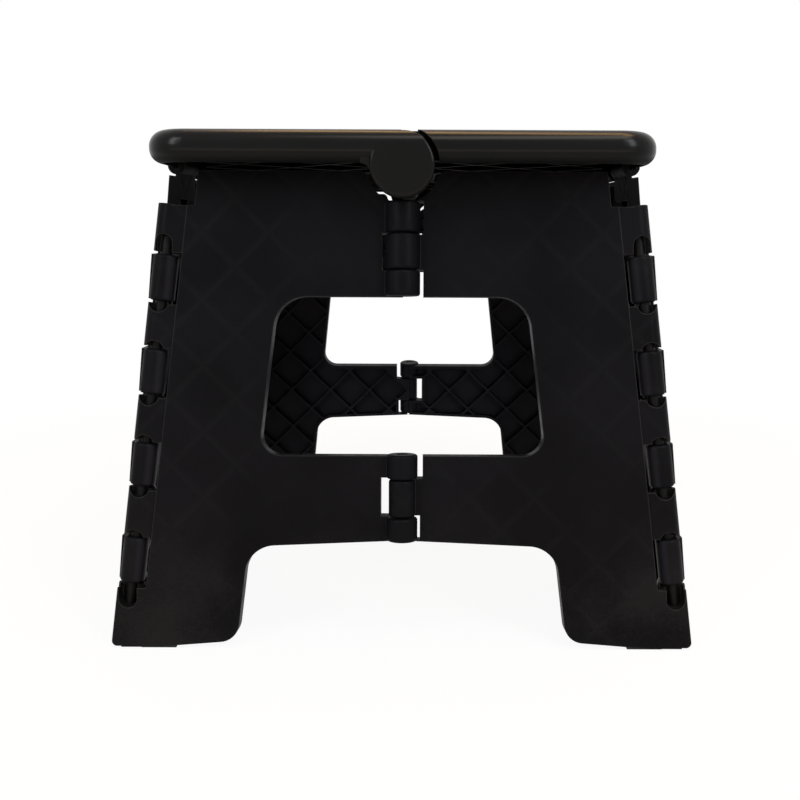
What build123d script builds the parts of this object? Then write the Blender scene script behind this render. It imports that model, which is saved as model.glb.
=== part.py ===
"""Folding step stool, standing open.

Millimetres, +Z up, origin on the floor under the middle of the seat.
X runs across the seat (the short way), -Y is the end seen first, Z is height.
The stool is the same when turned half a turn about Z, so the far end and the
right hand mouldings are turned copies of the near and left hand ones.
"""
import os

from build123d import *

# Overall shape
seat_top = 230.3
seat_half_width = 109.5
seat_half_depth = 146.0
end_face_at_floor = 150.0
end_lean = 0.1240
end_t = 7.0

# Corner hinge axes: where they meet the floor and how they lean inward
corner_x = 128.6
corner_y = end_face_at_floor - end_t
corner_lean_x = 0.1237
corner_lean_y = 0.1200

# Centre hinge axis of each end; it meets the corner axes in one point far above
centre_lean_y = 0.1280
apex_height = corner_x / corner_lean_x
centre_y = corner_y + apex_height * (centre_lean_y - corner_lean_y)

# Seat halves and their hinge axes
rim_low = seat_top - 13.9
skin_low = seat_top - 2.5
rim_wall = 5.0
seat_corner_r = 18.0
rim_top_r = 7.0
rim_low_r = 6.0
seat_axis_z = seat_top - 14.3
boss_r = 13.9
boss_gap = 1.8
boss_depth = 12.0
boss_edge_r = 1.6
boss_blend_r = 4.0
side_axis_z = seat_axis_z + 1.7
side_axis_x = seat_half_width - 4.3

# Pins and fits
pin_r = 2.8
side_pin_r = 2.0
running_fit = 0.06
open_fit_back = 0.6
open_fit_seat = 1.9
weld = 0.4

# Corner knuckles: end panel and side panel take turns from the floor up
pad_show = 0.8
corner_r = 5.8
side_knuckle_r = 5.6
side_knuckle_edge_r = 1.5
knuckle_gap = 1.1
knuckle_breaks = [28.4, 50.4, 72.9, 93.6, 114.6, 135.9, 156.3, 178.0, 199.9]
corner_pin_span = (3.0, knuckle_breaks[-1] - 2.5)
knuckle_slot = side_knuckle_r + 2.8
top_slot = 11.6
knuckle_clear = 0.8
slot_clear = 1.4
slot_clear_end = 1.0

# Round scoops in the ends of the end panels' corner knuckles, as (radius, depth)
low_scoop = (4.7, 3.3)
high_scoop = (4.7, 3.3)
top_arch = (3.9, 8.2)
foot_scoop = (4.2, 9.0)
scoop_back = 1.0

# Centre knuckles, as (low, high, radius, half width of the cut facing it)
centre_a = [
    (50.6, 61.6, 7.0, 8.1),
    (78.7, 90.0, 7.0, 9.3),
    (159.8, 171.3, 7.8, 9.2),
    (187.2, 201.2, 7.8, 9.2),
]
centre_b = [
    (61.6, 78.7, 6.0, 9.6),
    (171.3, 187.2, 7.8, 9.2),
]
centre_gap = 0.2
centre_edge_r = 1.2
centre_clear = 1.0
pin_inset = 0.6

# End panels
end_skin = 2.3
end_flange = 2.0
rib_t = 1.6
rib_pitch = 21.0
rib_middle_x = 60.0
rib_middle_z = 100.0
least_pocket = 12.0
bar_low = 50.3
bar_high = 88.7
bar_crown = 3.0
window_high = 159.6
end_top = rim_low - 2.0
inner_edge_x = 75.8
leg_r = 9.0
arch_r = 14.0
sole_flat = 15.0
sole_rise = 3.0
window_low_r = 9.0
window_high_r = 15.0
boss_notch_r = boss_r + 2.8
boss_notch_z = seat_axis_z + 1.2
small_r = 3.0
foot_out = 5.0
foot_edge_r = 1.5
foot_corner_r = 2.5

# Side panels, measured outward from the plane of the corner axes
side_in = 1.0
side_out = 6.5
side_skin = 2.2
side_rib_pitch = 34.0
side_edge_gap = 8.2
side_top = rim_low - 3.8
shoulder_low = 187.0
side_bar_low = 52.0
side_bar_high = 92.0
side_window_high = 160.0
side_window_half = 84.0
side_leg_half = 96.0
arm_overlap = 6.0
arm_short = 0.6

# Necks of the side panels and the barrels of the seat, along the seat hinges
neck_low = side_top - 10.0
neck_centres = [-91.0, -29.0, 29.0, 91.0]
neck_width = 26.0
neck_end = neck_centres[-1] + neck_width / 2
neck_r = 4.0
neck_clear = 0.6
side_barrel_r = 4.2
side_barrel_centres = [-58.0, 0.0, 58.0]
side_barrel_width = 27.0
seat_pin_half = neck_end - 1.0

# Seat centre hinge, ribs and carry slots
seam_half = 0.5
seam_wall = 3.0
seat_knuckle_r = 6.5
seat_knuckles_left = [(-134.5, -118.0), (-94.0, -72.0), (95.0, 117.0)]
seat_knuckle_clear = 0.6
seat_pin_inset = 2.5
seat_pin_end = seat_half_depth - 8.0
seat_rib_low = rim_low + 1.8
seat_rib_pitch = 30.0
seat_rib_edge = side_axis_x - 9.2
handle_in = 16.0
handle_out = 40.0
handle_half = 48.0
handle_wall = 2.4

# Soft parts
pad_t = 2.5
pad_inset = 1.0
pad_from_corner = 9.0
pad_past_flat = 10.0
dot_r = 3.2
dot_h = 0.8
dot_pitch = 22.0
dot_inset = 18.0
dot_clear = 7.0

slope = (1.0 + end_lean**2) ** 0.5
side_slope = (1.0 + corner_lean_x**2) ** 0.5
knuckle_slope = (1.0 + corner_lean_y**2) ** 0.5
beyond = 2 * end_face_at_floor


def leaning_end(y_at_floor, lean):
    return Plane(origin=(0, -y_at_floor, 0), x_dir=(1, 0, 0), z_dir=(0, -1, lean))


end_plane = leaning_end(end_face_at_floor, end_lean)
knuckle_plane = leaning_end(corner_y + corner_r * knuckle_slope, corner_lean_y)
side_plane = Plane(
    origin=(-corner_x, 0, 0),
    x_dir=(0, -1, 0),
    z_dir=(-1, 0, corner_lean_x),
)

knuckle_edges = [pad_show - knuckle_gap / 2] + knuckle_breaks
knuckles = []
for low, high in zip(knuckle_edges[:-1], knuckle_edges[1:]):
    knuckles.append((low + knuckle_gap / 2, high - knuckle_gap / 2))
end_knuckles = knuckles[0::2]
side_knuckles = knuckles[1::2]


def corner_axis(z):
    return Vector(-(corner_x - corner_lean_x * z), -(corner_y - corner_lean_y * z), z)


def centre_axis(z):
    return Vector(0, -(centre_y - centre_lean_y * z), z)


def along(axis, low, high, radius, edge_r=0.0):
    start = axis(low)
    span = axis(high) - start
    solid = Cylinder(radius, span.length, align=(Align.CENTER, Align.CENTER, Align.MIN))
    if edge_r:
        solid = fillet(solid.edges().filter_by(GeomType.CIRCLE), edge_r)
    return Plane(origin=start, z_dir=span) * solid


def rod_y(x, z, y_low, y_high, radius):
    solid = Cylinder(radius, y_high - y_low, align=(Align.CENTER, Align.CENTER, Align.MIN))
    return Plane(origin=(x, y_low, z), z_dir=(0, 1, 0)) * solid


def block(x0, x1, y0, y1, z0, z1):
    solid = Box(x1 - x0, y1 - y0, z1 - z0)
    return Pos((x0 + x1) / 2, (y0 + y1) / 2, (z0 + z1) / 2) * solid


def mirror_x(shape):
    return mirror(shape, about=Plane.YZ)


def mirror_y(shape):
    return mirror(shape, about=Plane.XZ)


def half_turn(shape):
    return Rot(0, 0, 180) * shape


def polygon(points):
    return make_face(Polyline(*points, close=True))


def fillet_at(face, point, radius):
    corner = face.vertices().sort_by_distance(Vector(point[0], point[1], 0))[0]
    return fillet(corner, radius)


def lattice(pitch, middle, reach):
    """Crossed slanting bars on a plane, as far as reach from the middle."""
    bars = []
    count = int(reach / pitch) + 1
    for turn in (45, -45):
        for step in range(-count, count + 1):
            bar = Rot(0, 0, turn) * Pos(0, step * pitch) * Rectangle(4 * reach, rib_t)
            bars.append(Pos(middle[0], middle[1]) * bar)
    return bars


def pockets(room, plane, skin, depth, pitch, middle):
    """Hollows between crossed ribs, from the skin to the open back of a plate."""
    inside = room - lattice(pitch, middle, end_face_at_floor)
    under = plane.offset(-skin)
    return [extrude(under * p, amount=-depth) for p in inside.faces() if p.area > least_pocket]


def height_on_end(z):
    return z * slope


def corner_line(z):
    return -(corner_x - corner_lean_x * z)


def inner_line(z):
    return -(inner_edge_x - corner_lean_x * z)


def strip(z_low, z_high, left, right):
    """Part of an end panel beside the corner axis, between two heights."""
    points = [
        (corner_line(z_low) + left, height_on_end(z_low)),
        (corner_line(z_low) + right, height_on_end(z_low)),
        (corner_line(z_high) + right, height_on_end(z_high)),
        (corner_line(z_high) + left, height_on_end(z_high)),
    ]
    return polygon(points)


def end_face(centre_cuts):
    """Outline of the left half of an end panel, in the plane of its outer face."""
    at = height_on_end
    sole_end = (inner_line(pad_show + sole_rise), at(pad_show + sole_rise))
    arch = (inner_line(bar_low - bar_crown), at(bar_low - bar_crown))
    window_corner = (inner_line(bar_high), at(bar_high))
    window_top = (inner_line(window_high), at(window_high))
    points = [
        (corner_line(pad_show), at(pad_show)),
        (corner_line(pad_show) + sole_flat, at(pad_show)),
        sole_end,
        arch,
        (0, at(bar_low)),
        (0, at(bar_high)),
        window_corner,
        window_top,
        (0, at(window_high)),
        (0, at(end_top)),
        (corner_line(end_top), at(end_top)),
    ]
    face = polygon(points)
    face = fillet_at(face, sole_end, leg_r)
    face = fillet_at(face, arch, arch_r)
    face = fillet_at(face, window_corner, window_low_r)
    face = fillet_at(face, window_top, window_high_r)
    face -= Pos(0, at(boss_notch_z)) * Circle(boss_notch_r)
    drop = at(boss_notch_z) - at(end_top)
    notch_x = (boss_notch_r**2 - drop**2) ** 0.5
    face = fillet_at(face, (-notch_x, at(end_top)), small_r)
    for below, above in zip(end_knuckles[:-1], end_knuckles[1:]):
        face -= strip(below[1], above[0], -beyond, knuckle_slot)
    face -= strip(end_knuckles[-1][1], seat_top, -beyond, top_slot)
    for low, high, radius, reach in centre_cuts:
        height = at(high - low + 2 * centre_gap)
        face -= Pos(0, at((low + high) / 2)) * Rectangle(2 * reach, height)
    return face


def scoop(z_end, way, size):
    """Round-ended cut in the front of a corner knuckle, from its end inward."""
    radius, depth = size
    front = -2 * end_t
    cut = rod_y(0, way * (depth - radius), front, -scoop_back, radius)
    if depth > radius:
        ends = sorted((-way * knuckle_gap, way * (depth - radius)))
        cut += block(-radius, radius, front, -scoop_back, *ends)
    return Pos(*corner_axis(z_end)) * cut


def foot_block():
    """Square outer corner of the foot, beside the lowest corner knuckle."""
    low, high = end_knuckles[0]
    face = strip(low, high, -foot_out, knuckle_slot)
    face = fillet_at(face, (corner_line(low) - foot_out, height_on_end(low)), foot_corner_r)
    solid = extrude(end_plane * face, amount=-end_t)
    upright = solid.edges().filter_by(lambda e: e.length > (high - low) / 2)
    front = upright.sort_by(Axis.X)[:2].sort_by(Axis.Y)[0]
    return fillet(front, foot_edge_r)


def end_half(own, other, own_fit):
    """Left half of an end panel: ribbed plate, corner and centre knuckles."""
    face = end_face(other)
    plate = extrude(end_plane * face, amount=-end_t)
    room = offset(face, amount=-end_flange, kind=Kind.INTERSECTION)
    room -= strip(0, end_top, -beyond, knuckle_slot + end_flange)
    middle = (-rib_middle_x, rib_middle_z)
    plate -= pockets(room, end_plane, end_skin, end_t, rib_pitch, middle)
    low_step = end_knuckles[0][1]
    step = strip(low_step, end_top, -beyond, knuckle_slot)
    plate -= extrude(knuckle_plane * step, amount=end_t)
    added = [foot_block()]
    for low, high in end_knuckles:
        added.append(along(corner_axis, low, high, corner_r))
    for low, high, radius, reach in own:
        added.append(along(centre_axis, low + centre_gap, high - centre_gap, radius, centre_edge_r))
    plate += added
    cuts = []
    for low, high in side_knuckles:
        clear_r = side_knuckle_r + slot_clear
        cuts.append(along(corner_axis, low - slot_clear_end, high + slot_clear_end, clear_r))
    for low, high, radius, reach in other:
        clear_r = radius + centre_clear
        cuts.append(along(centre_axis, low - centre_gap, high + centre_gap, clear_r))
    foot, *upper = end_knuckles
    cuts.append(scoop(foot[1], -1, foot_scoop))
    cuts.append(scoop(upper[-1][0], 1, top_arch))
    for low, high in upper[:-1]:
        cuts.append(scoop(low, 1, low_scoop))
        cuts.append(scoop(high, -1, high_scoop))
    low, high = corner_pin_span
    cuts.append(along(corner_axis, low - pin_inset, high + pin_inset, pin_r + running_fit))
    cuts.append(along(centre_axis, 0, seat_top, pin_r + own_fit))
    plate -= cuts
    plate &= block(-beyond, beyond, -beyond, 0, pad_show, seat_top)
    return plate - leg_pad()


def leg_pad():
    """Soft pad under the leg of the left end half panel."""
    y_face = -end_face_at_floor + end_lean * pad_t
    x0 = corner_line(0) + pad_from_corner
    x1 = corner_line(0) + sole_flat + pad_past_flat
    y0 = y_face + pad_inset
    y1 = y_face + end_t - pad_inset
    return block(x0, x1, y0, y1, 0, pad_t)


def side_line(z):
    return corner_y - corner_lean_y * z - side_edge_gap


def side_face():
    """Outline of a side panel: two legs, a crossbar, a window and a top rail."""
    k = side_slope
    lean = corner_lean_y
    foot = (side_line(0), 0)
    elbow = (side_line(shoulder_low), shoulder_low * k)
    inset = (neck_end, shoulder_low * k)
    shoulder = (neck_end, side_top * k)
    arch = (side_leg_half - lean * side_bar_low, side_bar_low * k)
    heel = (side_leg_half, 0)
    right = [shoulder, inset, elbow, foot, heel, arch]
    face = polygon([(-x, v) for x, v in reversed(right)] + right)
    for sign in (-1, 1):
        face = fillet_at(face, (sign * arch[0], arch[1]), leg_r)
        face = fillet_at(face, (sign * heel[0], heel[1]), leg_r)
        face = fillet_at(face, (sign * elbow[0], elbow[1]), small_r)
    low_half = side_window_half - lean * side_bar_high
    high_half = side_window_half - lean * side_window_high
    window = [
        (-low_half, side_bar_high * k),
        (low_half, side_bar_high * k),
        (high_half, side_window_high * k),
        (-high_half, side_window_high * k),
    ]
    opening = polygon(window)
    return face - fillet(opening.vertices(), window_high_r)


def side_panel():
    """Left side panel with its corner knuckles, necks and seat hinge barrels."""
    face = side_face()
    outer = side_plane.offset(side_out)
    depth = side_out - side_in
    plate = extrude(outer * face, amount=-depth)
    room = offset(face, amount=-end_flange, kind=Kind.INTERSECTION)
    plate -= pockets(room, outer, side_skin, depth, side_rib_pitch, (0, rib_middle_z))
    added = []
    for low, high in side_knuckles:
        middle_z = (low + high) / 2
        height = (high - low) * side_slope - arm_short
        reach = side_edge_gap + arm_overlap
        y = corner_y - corner_lean_y * middle_z - reach / 2
        for end in (-1, 1):
            arm = Pos(end * y, middle_z * side_slope) * Rectangle(reach, height)
            added.append(extrude(side_plane.offset(side_in) * arm, amount=depth))
        barrel = along(corner_axis, low, high, side_knuckle_r, side_knuckle_edge_r)
        added += [barrel, mirror_y(barrel)]
    neck_out = side_axis_x - (corner_x - corner_lean_x * side_axis_z)
    for centre in neck_centres:
        rise = (side_axis_z - neck_low) * side_slope
        neck = Pos(centre, neck_low * side_slope + rise / 2) * Rectangle(neck_width, rise)
        added.append(extrude(side_plane.offset(side_in) * neck, amount=neck_out - side_in))
        low = -centre - neck_width / 2
        added.append(rod_y(-side_axis_x, side_axis_z, low, low + neck_width, neck_r))
    plate += added
    bore = along(corner_axis, 0, seat_top, pin_r)
    cuts = [rod_y(-side_axis_x, side_axis_z, -beyond, beyond, side_pin_r), bore, mirror_y(bore)]
    for low, high in end_knuckles:
        reach = corner_r + knuckle_clear
        clear = along(corner_axis, low - knuckle_clear, high + knuckle_clear, reach)
        cuts += [clear, mirror_y(clear)]
    plate -= cuts
    plate &= block(-beyond, 0, -beyond, beyond, pad_show, beyond)
    return plate - side_pads()


def side_pads():
    """Soft pads under both legs of the left side panel."""
    x_in = -corner_x - side_in - pad_inset
    x_out = -corner_x - side_out + pad_inset
    y0 = side_leg_half + leg_r
    y1 = side_line(0) - pad_inset
    near = block(x_out, x_in, -y1, -y0, 0, pad_t)
    return Compound(children=[near, mirror_y(near)])


def rounded_slab(x0, x1, half_y, radius, z0, z1):
    outline = Pos((x0 + x1) / 2, 0) * Rectangle(x1 - x0, 2 * half_y)
    corners = outline.vertices().group_by(Axis.X)[0]
    outline = fillet(corners, radius)
    return extrude(Pos(0, 0, z0) * outline, amount=z1 - z0)


def rim_edges(solid, level):
    """Edges round the outside of a slab, without the one along the seam."""
    return [e for e in solid.edges().group_by(Axis.Z)[level] if e.center().X < -2 * seam_wall]


def seat_half():
    """Left seat half: rounded shell, ribs and carry slot."""
    w = seat_half_width
    d = seat_half_depth
    t = rim_wall
    shell = rounded_slab(-w, 0, d, seat_corner_r, rim_low, seat_top)
    shell = fillet(rim_edges(shell, -1), rim_top_r)
    shell = fillet(rim_edges(shell, 0), rim_low_r)
    hollow = rounded_slab(-w + t, -seam_wall, d - t, seat_corner_r - t, 0, skin_low)
    hollow = fillet(rim_edges(hollow, -1), rim_top_r - t)
    slot_x = -(handle_in + handle_out) / 2
    slot_w = handle_out - handle_in
    slot = Pos(slot_x, 0) * SlotOverall(2 * handle_half, slot_w, rotation=90)
    ring = offset(slot, amount=handle_wall)
    ribs = ring + lattice(seat_rib_pitch, (-w / 2, 0), d)
    ribs &= Pos(-seat_rib_edge / 2, 0) * Rectangle(seat_rib_edge, 2 * d)
    web = extrude(Pos(0, 0, seat_rib_low) * ribs, amount=skin_low - seat_rib_low + weld)
    web &= rounded_slab(-w + t / 2, -seam_wall / 2, d - t / 2, seat_corner_r - t, 0, seat_top)
    half = shell - hollow + web
    return half - [extrude(slot, amount=beyond), block(-seam_half, beyond, -beyond, beyond, 0, beyond)]


def seat_boss():
    """Round end of the seat hinge, its top following the rounded rim."""
    d = seat_half_depth
    boss = rod_y(0, seat_axis_z, -d, -d + boss_depth, boss_r)
    boss = fillet(boss.edges().group_by(Axis.Y)[0], boss_edge_r)
    drop = seat_axis_z + boss_blend_r - rim_low
    across = ((boss_r + boss_blend_r) ** 2 - drop**2) ** 0.5
    low = rim_low - boss_blend_r
    blend = block(-across, 0, -d + boss_edge_r, -d + boss_depth, low, seat_axis_z + boss_blend_r)
    boss += blend - rod_y(-across, low, -beyond, beyond, boss_blend_r)
    lid = block(-2 * boss_r, 2 * boss_r, -d, d, 0, seat_top)
    lid_front = lid.edges().filter_by(Axis.X).group_by(Axis.Z)[-1].sort_by(Axis.Y)[0]
    return boss & fillet(lid_front, rim_top_r)


def seat_with_hinges(fit_pin):
    """Left seat half with the centre boss, centre knuckles and side barrels."""
    d = seat_half_depth
    z = seat_axis_z
    x = -side_axis_x
    cuts = [rod_y(0, z, d - boss_depth - knuckle_clear, beyond, boss_r + boss_gap)]
    for low, high in seat_knuckles_left:
        reach = seat_knuckle_r + open_fit_seat + seat_knuckle_clear
        cuts.append(rod_y(0, z, -high - seat_knuckle_clear, -low + seat_knuckle_clear, reach))
    for centre in neck_centres:
        low = centre - neck_width / 2 - neck_clear
        high = centre + neck_width / 2 + neck_clear
        cuts.append(rod_y(x, side_axis_z, low, high, neck_r + neck_clear))
        cuts.append(block(-beyond, x, low, high, 0, side_axis_z))
    half = seat_half() - cuts
    added = [seat_boss()]
    for low, high in seat_knuckles_left:
        added.append(rod_y(0, z, low, high, seat_knuckle_r))
        added.append(block(-seat_knuckle_r, -seam_half, low, high, z, skin_low + weld))
    for centre in side_barrel_centres:
        low = centre - side_barrel_width / 2
        high = centre + side_barrel_width / 2
        added.append(rod_y(x, side_axis_z, low, high, side_barrel_r))
        added.append(block(x - side_pin_r, x + side_barrel_r, low, high, side_axis_z, skin_low + weld))
    half += added
    side_bore = rod_y(x, side_axis_z, -beyond, beyond, side_pin_r + running_fit)
    side_bore &= block(-beyond, 0, -seat_pin_half, seat_pin_half, 0, beyond)
    return half - [side_bore, rod_y(0, z, -d + seat_pin_inset, seat_pin_end + pin_r, pin_r + fit_pin)]


def grip_dots():
    """Soft dots over the left seat half, left out round the carry slot."""
    dots = []
    rows = int((seat_half_depth - dot_inset) / dot_pitch)
    columns = int((seat_half_width - dot_inset - rim_top_r - dot_r) / dot_pitch) + 1
    for i in range(columns):
        x = -dot_inset - i * dot_pitch
        beside = handle_in - dot_clear < -x < handle_out + dot_clear
        for j in range(-rows, rows + 1):
            y = j * dot_pitch
            if beside and abs(y) < handle_half + dot_clear:
                continue
            dot = Cylinder(dot_r, dot_h, align=(Align.CENTER, Align.CENTER, Align.MIN))
            dots.append(Pos(x, y, seat_top) * dot)
    return Compound(children=dots)


def save(shape, name):
    export_step(shape, "parts/" + name + ".step")


os.makedirs("parts", exist_ok=True)

front_left = end_half(centre_a, centre_b, 0.0)
front_right = mirror_x(end_half(centre_b, centre_a, running_fit))
back_left = mirror_x(end_half(centre_b, centre_a, open_fit_back))
save(front_left, "front_panel_left")
save(front_right, "front_panel_right")
save(half_turn(back_left), "back_panel_left")
save(half_turn(front_left), "back_panel_right")

pad_left = leg_pad()
pad_right = mirror_x(pad_left)
save(pad_left, "foot_pad_front_left")
save(pad_right, "foot_pad_front_right")
save(half_turn(pad_right), "foot_pad_back_left")
save(half_turn(pad_left), "foot_pad_back_right")

side_left = side_panel()
pads = side_pads()
save(side_left, "side_panel_left")
save(half_turn(side_left), "side_panel_right")
save(pads, "foot_pads_side_left")
save(half_turn(pads), "foot_pads_side_right")

seat_left = seat_with_hinges(0.0)
seat_right = half_turn(seat_with_hinges(open_fit_seat))
save(seat_left, "seat_left")
save(seat_right, "seat_right")
dots = grip_dots()
save(dots, "grip_dots_left")
save(half_turn(dots), "grip_dots_right")

corner_pin = along(corner_axis, corner_pin_span[0], corner_pin_span[1], pin_r)
far_corner_pin = mirror_y(corner_pin)
save(corner_pin, "corner_pin_front_left")
save(far_corner_pin, "corner_pin_back_left")
save(half_turn(corner_pin), "corner_pin_back_right")
save(half_turn(far_corner_pin), "corner_pin_front_right")

centre_pin_spans = {
    "lower": (centre_a[0][0] + pin_inset, centre_a[1][1] - pin_inset),
    "upper": (centre_a[2][0] + pin_inset, centre_a[3][1] - pin_inset),
}
for level, span in centre_pin_spans.items():
    pin = along(centre_axis, span[0], span[1], pin_r)
    save(pin, "centre_pin_front_" + level)
    save(half_turn(pin), "centre_pin_back_" + level)

seat_pin = rod_y(-side_axis_x, side_axis_z, -seat_pin_half, seat_pin_half, side_pin_r)
save(seat_pin, "seat_pin_left")
save(half_turn(seat_pin), "seat_pin_right")
centre_pin = rod_y(0, seat_axis_z, -seat_half_depth + seat_pin_inset, seat_pin_end, pin_r)
save(centre_pin, "seat_centre_pin")
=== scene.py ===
import math

import bpy
from mathutils import Matrix, Vector

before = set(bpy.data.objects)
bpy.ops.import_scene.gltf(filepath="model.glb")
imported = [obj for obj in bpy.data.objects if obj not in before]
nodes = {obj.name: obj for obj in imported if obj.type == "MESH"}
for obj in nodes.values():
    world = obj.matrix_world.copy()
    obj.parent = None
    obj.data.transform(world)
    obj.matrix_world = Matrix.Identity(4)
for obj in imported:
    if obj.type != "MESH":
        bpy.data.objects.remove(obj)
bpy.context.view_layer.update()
print("frame loaded:", len(nodes), "nodes")

# every noise swings about this value
noiseMiddle = 0.5


class Signal:
    # one output socket that can be used in sums
    def __init__(self, finish, socket):
        self.finish = finish
        self.socket = socket

    def math(self, operation, *others):
        return self.finish.sum(operation, self, *others)

    def __add__(self, other):
        return self.math("ADD", other)

    def __radd__(self, other):
        return self.math("ADD", other)

    def __sub__(self, other):
        return self.math("SUBTRACT", other)

    def __rsub__(self, other):
        return self.finish.sum("SUBTRACT", other, self)

    def __mul__(self, other):
        return self.math("MULTIPLY", other)

    def __neg__(self):
        return self.math("MULTIPLY", -1.0)

    def __abs__(self):
        return self.math("ABSOLUTE")


class Finish:
    # a node tree in which every node is made by add
    def __init__(self, tree):
        self.tree = tree
        tree.nodes.clear()

    def add(self, kind, settings, sockets, out=0):
        node = self.tree.nodes.new(kind)
        for key, value in settings.items():
            setattr(node, key, value)
        for key, value in sockets.items():
            if isinstance(value, Signal):
                self.tree.links.new(value.socket, node.inputs[key])
            else:
                node.inputs[key].default_value = value
        return Signal(self, node.outputs[out]) if node.outputs else node

    def sum(self, operation, *values):
        return self.add("ShaderNodeMath", {"operation": operation}, dict(enumerate(values)))

    def measure(self, operation, *vectors):
        # one number out of one or two vectors
        settings = {"operation": operation}
        return self.add("ShaderNodeVectorMath", settings, dict(enumerate(vectors)), "Value")

    def mixColour(self, factor, first, second):
        # the colour sockets share their names with others, so they go by number
        settings = {"data_type": "RGBA", "clamp_factor": True}
        return self.add("ShaderNodeMix", settings, {0: factor, 6: first, 7: second}, 2)

    def place(self):
        # where a point lies on its own piece, in metres
        return self.add("ShaderNodeTexCoord", {}, {}, "Object")

    def facing(self):
        # which way the surface faces, turning with the piece
        return self.add("ShaderNodeTexCoord", {}, {}, "Normal")

    def stretch(self, vector, scale):
        return self.add("ShaderNodeMapping", {}, {"Vector": vector, "Scale": scale})

    def split(self, vector):
        return [self.add("ShaderNodeSeparateXYZ", {}, {"Vector": vector}, axis) for axis in "XYZ"]

    def noise(self, vector, size, detail, rough=0.5):
        # size is one blotch in metres
        sockets = {"Vector": vector, "Scale": 1 / size, "Detail": detail, "Roughness": rough}
        return self.add("ShaderNodeTexNoise", {}, sockets)

    def step(self, value, low, high):
        # smooth 0 to 1 between low and high
        settings = {"interpolation_type": "SMOOTHSTEP"}
        sockets = {"Value": value, "From Min": low, "From Max": high, "To Min": 0.0, "To Max": 1.0}
        return self.add("ShaderNodeMapRange", settings, sockets)

    def bump(self, height, under=None):
        # height is in metres
        sockets = {"Strength": 1.0, "Distance": 1.0, "Height": height}
        if under:
            sockets["Normal"] = under
        return self.add("ShaderNodeBump", {}, sockets)

    def surface(self, sockets):
        shader = self.add("ShaderNodeBsdfPrincipled", {}, sockets)
        self.add("ShaderNodeOutputMaterial", {}, {"Surface": shader})

    def direct(self):
        # 1 for rays from the camera and for those mirrored or let through
        rays = ("Is Camera Ray", "Is Glossy Ray", "Is Transmission Ray")
        seen, mirrored, through = [self.add("ShaderNodeLightPath", {}, {}, ray) for ray in rays]
        return seen + mirrored + through


def grey(level, warm=0.0):
    return (level * (1 + warm), level, level * (1 - warm), 1.0)


def tinted(level, tint):
    return tuple(level * part for part in tint) + (1.0,)


def newFinish(name):
    material = bpy.data.materials.new(name)
    material.use_nodes = True
    return material, Finish(material.node_tree)


edgeLook = {"samples": 6, "turn": (0.004, 0.10)}


def edgeWearAndGlintMask(finish, radius):
    # 1 on the edges of a moulding: rubbed wear on the rubber, and on the plastic both rubbed wear
    #                               and a painted glint of light on the rounded edges
    soft = finish.add("ShaderNodeBevel", {"samples": edgeLook["samples"]}, {"Radius": radius})
    flat = finish.add("ShaderNodeNewGeometry", {}, {}, "Normal")
    same = finish.measure("DOT_PRODUCT", soft, flat)
    return soft, finish.step(1 - same, *edgeLook["turn"])


def cellLines(finish, u, v, pitch, half):
    # 1 along both sets of slanting lines of a diamond grid
    root = math.sqrt(0.5)
    lines = []
    for way in ((u + v) * root, (u - v) * root):
        cell = finish.sum("PINGPONG", way, pitch / 2)
        lines.append(1 - finish.step(cell, 0.0, half))
    return finish.sum("MAXIMUM", *lines)


# what all the plastic has in common: noise detail and where masks begin and end
mould = {
    "blotchDetail": 4.0, "blotchStep": (0.3, 0.7),
    "grainDetail": 2.0, "grainRough": 0.6, "flowDetail": 3.0,
    "nearFloorGrain": 0.5, "nearFloorStep": (0.35, 0.75), "nearFloorWarm": 0.06,
    "underStep": (-0.8, -0.3), "backStep": (0.02, 0.08),
    "patchDetail": 2.0, "patchStep": (0.4, 0.6),
}


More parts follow.
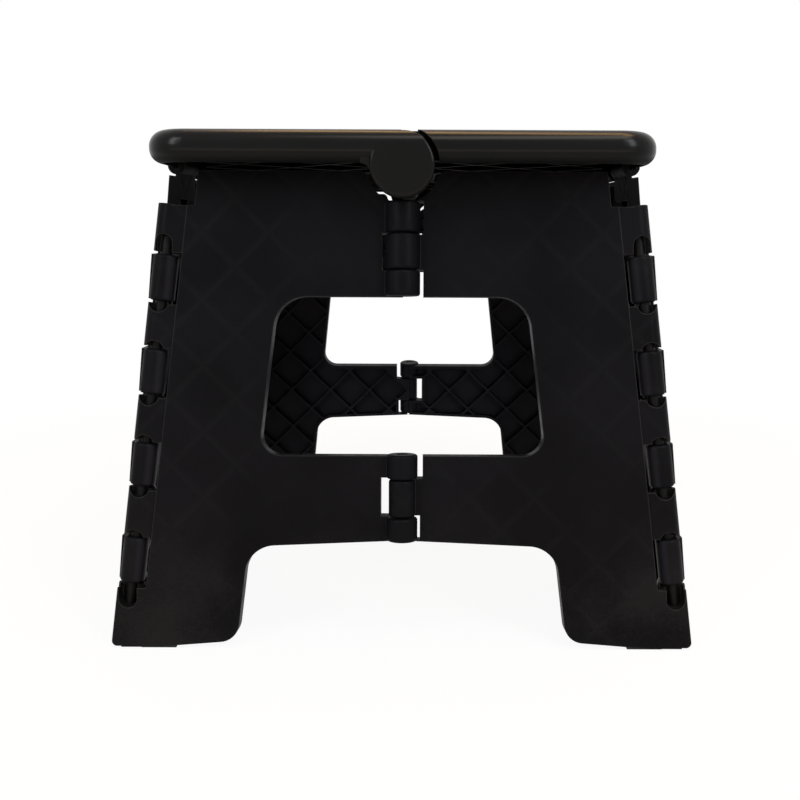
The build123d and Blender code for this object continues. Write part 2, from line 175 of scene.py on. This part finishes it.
def plastic(name, look, grid=None):
    # moulded black plastic: satin skin, fine grain, paler edges that are partly rubbed wear and
    # partly a painted glint, and faint rib lines
    material, f = newFinish(name)
    at = f.place()
    x, y, z = f.split(at)
    faceX, faceY, faceZ = f.split(f.facing())
    blotch = f.noise(at, look["blotch"], mould["blotchDetail"])
    grain = f.noise(at, look["grain"], mould["grainDetail"], mould["grainRough"])
    flow = f.noise(f.stretch(at, look["flowStretch"]), look["flow"], mould["flowDetail"])
    soft, edge = edgeWearAndGlintMask(f, look["edgeRadius"])
    dark = tinted(look["dark"], look["tint"])
    pale = tinted(look["pale"], look["tint"])
    colour = f.mixColour(f.step(blotch, *mould["blotchStep"]), dark, pale)
    # paler speckled patches on the panels, strongest at the floor and gone by 8 cm up
    if "nearFloorPale" in look:
        low = 1 - f.step(z, *look["nearFloorTo"])
        speckle = blotch + (grain - noiseMiddle) * mould["nearFloorGrain"]
        nearFloorPatches = low * f.step(speckle, *mould["nearFloorStep"]) * look["nearFloorShow"]
        colour = f.mixColour(nearFloorPatches, colour, grey(look["nearFloorPale"], mould["nearFloorWarm"]))
    # edges painted paler: partly rubbed wear, partly a painted glint where light catches the
    # rounded edge
    colour = f.mixColour(edge * look["edgeWearAndGlintShow"], colour, grey(look["paleMarkAndGlint"]))
    rough = look["rough"] + (blotch - noiseMiddle) * look["roughSpread"]
    rough = rough + (flow - noiseMiddle) * look["flowSpread"]
    under = 1 - f.step(faceZ, *mould["underStep"])
    rough = rough - edge * look["edgePolish"] + under * look["underRough"]
    height = grain * look["grainDepth"] + flow * look["flowDepth"]
    if grid:
        if grid["across"] == "x":
            u = abs(x) - grid["middle"][0]
            outward = faceY * y
        else:
            u = y - grid["middle"][0]
            outward = faceX * x
        v = z * look["slope"] - grid["middle"][1]
        lines = cellLines(f, u, v, grid["pitch"], look["lineHalf"])
        height = height - lines * look["lineDepth"]
        rough = rough + lines * look["lineRough"]
        patch = f.noise(at, look["linePatch"], mould["patchDetail"])
        shown = lines * f.step(patch, *mould["patchStep"]) * look["lineShow"]
        colour = f.mixColour(shown, colour, grey(look["paleMarkAndGlint"]))
        # the ribbed back is painted paler than the polished front, as painted light on the inside
        # faces seen across the stool
        paintedBackLight = f.step(-outward, *mould["backStep"]) * look["insideShow"]
        colour = f.mixColour(paintedBackLight, colour, tinted(look["inside"], look["tint"]))
    f.surface({
        "Base Color": colour,
        "Roughness": rough,
        "Normal": f.bump(height, soft),
        "Specular IOR Level": look["shine"],
    })
    return material


# the blue of the panel tint is a painted bluish sheen of reflected light
panelLook = {
    "dark": 0.0026, "pale": 0.0041, "tint": (0.98, 0.94, 1.20), "blotch": 0.045,
    "rough": 0.40, "roughSpread": 0.10, "underRough": 0.2, "shine": 0.035,
    "flow": 0.03, "flowStretch": (1, 1, 0.25), "flowSpread": 0.06, "flowDepth": 0.00004,
    "grain": 0.0009, "grainDepth": 0.000012,
    "edgeRadius": 0.0007, "edgeWearAndGlintShow": 0.6, "edgePolish": 0.12, "paleMarkAndGlint": 0.036,
    "slope": 1.0077, "lineHalf": 0.0024, "lineDepth": 0.00008, "lineRough": 0.05,
    "lineShow": 0.035, "linePatch": 0.07,
    "nearFloorTo": (0.0, 0.08), "nearFloorShow": 0.6, "nearFloorPale": 0.014,
    "inside": 0.013, "insideShow": 0.8,
}
endGrid = {"across": "x", "middle": (0.060, 0.100), "pitch": 0.021}
sideGrid = {"across": "y", "middle": (0.0, 0.110), "pitch": 0.034}
endPlastic = plastic("end_panel_plastic", panelLook, endGrid)
sidePlastic = plastic("side_panel_plastic", panelLook, sideGrid)

seatLook = {
    "dark": 0.0014, "pale": 0.0024, "tint": (1.05, 1.0, 0.98), "blotch": 0.06,
    "rough": 0.23, "roughSpread": 0.08, "underRough": 0.5, "shine": 0.11,
    "flow": 0.05, "flowStretch": (1, 0.3, 1), "flowSpread": 0.05, "flowDepth": 0.00005,
    "grain": 0.0011, "grainDepth": 0.000014,
    "edgeRadius": 0.0006, "edgeWearAndGlintShow": 0.4, "edgePolish": 0.06, "paleMarkAndGlint": 0.016,
}
seatPlastic = plastic("seat_plastic", seatLook)
print("plastics ready")


def paintedSteel(name, look):
    # black painted rod, worn to bare metal in small flecks
    material, f = newFinish(name)
    at = f.place()
    flecks = f.noise(at, look["fleck"], look["fleckDetail"], look["fleckRough"])
    wear = f.step(flecks, *look["wear"])
    drawn = f.noise(f.stretch(at, look["drawnStretch"]), look["drawn"], look["drawnDetail"])
    bare = grey(look["bare"], look["bareWarm"])
    rough = look["rough"] + (drawn - noiseMiddle) * look["drawnRough"]
    f.surface({
        "Base Color": f.mixColour(wear, grey(look["paint"]), bare),
        "Roughness": rough - wear * look["wearPolish"],
        "Metallic": wear,
        "Normal": f.bump(drawn * look["drawnDepth"]),
        "Specular IOR Level": look["shine"],
    })
    return material


pinLook = {
    "paint": 0.004, "bare": 0.20, "bareWarm": 0.03, "rough": 0.45, "shine": 0.08,
    "fleck": 0.004, "fleckDetail": 5.0, "fleckRough": 0.65,
    "wear": (0.72, 0.78), "wearPolish": 0.1,
    "drawn": 0.0008, "drawnDetail": 2.0, "drawnStretch": (1, 1, 0.05),
    "drawnRough": 0.2, "drawnDepth": 0.00001,
}
pinSteel = paintedSteel("pin_steel", pinLook)

# what the pads and the dots have in common
rubber = {
    "bloomDetail": 4.0, "bloomRough": 0.6, "bloomStep": (0.35, 0.75), "bloomSpread": 0.15,
    "dustWarm": 0.04, "edgeWearAndGlintShow": 0.4, "edgeDust": 1.3, "shine": 0.3,
}


def softRubber(name, look):
    # dull rubber with a dusty bloom and a fine pebble
    material, f = newFinish(name)
    at = f.place()
    bloom = f.noise(at, look["bloom"], rubber["bloomDetail"], rubber["bloomRough"])
    pebble = f.add("ShaderNodeTexVoronoi", {}, {"Vector": at, "Scale": 1 / look["pebble"]})
    soft, edge = edgeWearAndGlintMask(f, look["edgeRadius"])
    dusty = f.step(bloom, *rubber["bloomStep"])
    colour = f.mixColour(dusty, grey(look["dark"]), grey(look["dusty"], rubber["dustWarm"]))
    worn = grey(look["dusty"] * rubber["edgeDust"])
    f.surface({
        "Base Color": f.mixColour(edge * rubber["edgeWearAndGlintShow"], colour, worn),
        "Roughness": look["rough"] + (bloom - noiseMiddle) * rubber["bloomSpread"],
        "Normal": f.bump(pebble * look["pebbleDepth"], soft),
        "Specular IOR Level": rubber["shine"],
    })
    return material


padLook = {
    "dark": 0.012, "dusty": 0.026, "bloom": 0.008, "rough": 0.72,
    "pebble": 0.0007, "pebbleDepth": 0.00004, "edgeRadius": 0.0004,
}
dotLook = {
    "dark": 0.070, "dusty": 0.105, "bloom": 0.006, "rough": 0.66,
    "pebble": 0.0006, "pebbleDepth": 0.00003, "edgeRadius": 0.0003,
}
padRubber = softRubber("pad_rubber", padLook)
dotRubber = softRubber("dot_rubber", dotLook)
print("steel and rubber ready")

# each node takes the finish of the longest key that its name starts with
finishOf = {
    "front_panel": endPlastic, "back_panel": endPlastic, "side_panel": sidePlastic,
    "seat_left": seatPlastic, "seat_right": seatPlastic,
    "corner_pin": pinSteel, "centre_pin": pinSteel,
    "seat_pin": pinSteel, "seat_centre_pin": pinSteel,
    "foot_pad": padRubber, "grip_dots": dotRubber,
}
for name, piece in nodes.items():
    key = max((k for k in finishOf if name.startswith(k)), key=len)
    piece.data.materials.clear()
    piece.data.materials.append(finishOf[key])
print("finishes on", len(nodes), "nodes")

# metres and watts
lamps = {
    "key": {
        "at": (0.3, -0.72, 1.5), "aim": (0, -0.14, 0.12),
        "size": (1.0, 0.5), "power": 10, "tint": (1.0, 0.93, 0.84),
    },
    "overhead": {
        "at": (0.16, 0.12, 1.3), "aim": (0.0, -0.1, 0.23),
        "size": (1.15, 0.30), "power": 12, "tint": (1.0, 0.60, 0.25),
    },
    "leftStrip": {
        "at": (-0.80, -0.95, 0.82), "aim": (0, 0, 0.15),
        "size": (0.30, 0.80), "power": 8, "tint": (0.94, 0.97, 1.0),
    },
    "rightStrip": {
        "at": (0.80, -0.95, 0.82), "aim": (0, 0, 0.15),
        "size": (0.36, 0.80), "power": 9, "tint": (0.94, 0.97, 1.0),
    },
    "bounce": {
        "at": (0, -0.80, 0.03), "aim": (0, -0.15, 0.22),
        "size": (1.6, 0.10), "power": 1.3, "tint": (1.0, 0.74, 0.50),
    },
}


def softBox(name, spec):
    light = bpy.data.lights.new(name, "AREA")
    light.shape = "RECTANGLE"
    light.size, light.size_y = spec["size"]
    light.energy = spec["power"]
    light.color = spec["tint"]
    lamp = bpy.data.objects.new(name, light)
    bpy.context.scene.collection.objects.link(lamp)
    lamp.location = spec["at"]
    aim = Vector(spec["aim"]) - Vector(spec["at"])
    lamp.rotation_euler = aim.to_track_quat("-Z", "Y").to_euler()


for name, spec in lamps.items():
    softBox(name, spec)

studio = {
    "floorColour": 0.80, "floorGlow": 0.93, "floorReach": 6.0, "fade": (0.2, 0.6),
    "fill": 0.28, "fillTint": (0.93, 0.96, 1.0),
}

# the floor is pale paint that is seen mostly white, fully so away from the stool
floorPaint, f = newFinish("floor_paint")
paint = f.add("ShaderNodeBsdfDiffuse", {}, {"Color": grey(studio["floorColour"])})
glow = f.add("ShaderNodeEmission", {}, {"Color": grey(1.0), "Strength": 1.0})
away = f.measure("LENGTH", f.place())
least = studio["floorGlow"]
white = f.step(away, *studio["fade"]) * (1 - least) + least
lit = f.add("ShaderNodeMixShader", {}, {0: f.direct() * white, 1: paint, 2: glow})
f.add("ShaderNodeOutputMaterial", {}, {"Surface": lit})
reach = studio["floorReach"]
corners = [(-reach, -reach, 0), (reach, -reach, 0), (reach, reach, 0), (-reach, reach, 0)]
floorMesh = bpy.data.meshes.new("floor")
floorMesh.from_pydata(corners, [], [(0, 1, 2, 3)])
floorMesh.materials.append(floorPaint)
floor = bpy.data.objects.new("floor", floorMesh)
bpy.context.scene.collection.objects.link(floor)

# the world is seen white and fills the shadows with a little light
world = bpy.data.worlds.new("studio")
bpy.context.scene.world = world
world.use_nodes = True
f = Finish(world.node_tree)
sky = f.mixColour(f.direct(), tinted(studio["fill"], studio["fillTint"]), grey(1.0))
backdrop = f.add("ShaderNodeBackground", {}, {"Color": sky, "Strength": 1.0})
f.add("ShaderNodeOutputWorld", {}, {"Surface": backdrop})
print("studio lit")

# focal length, picture width and sideways shift are in pixels of the photo
shot = {
    "at": (0.0074, -0.5202, 0.1886), "down": 11.0, "roll": 0.25,
    "focal": 871.3, "picture": 800, "sensor": 36.0, "aside": -18.8, "clipStart": 0.01,
}
lens = bpy.data.cameras.new("camera")
lens.sensor_width = shot["sensor"]
lens.lens = shot["focal"] * shot["sensor"] / shot["picture"]
lens.shift_x = shot["aside"] / shot["picture"]
lens.clip_start = shot["clipStart"]
camera = bpy.data.objects.new("camera", lens)
bpy.context.scene.collection.objects.link(camera)
turn = Matrix.Rotation(math.radians(90 - shot["down"]), 4, "X")
turn = turn @ Matrix.Rotation(math.radians(shot["roll"]), 4, "Z")
camera.matrix_world = Matrix.Translation(shot["at"]) @ turn
bpy.context.scene.camera = camera
bpy.context.scene.view_settings.view_transform = "Standard"
print("camera set")
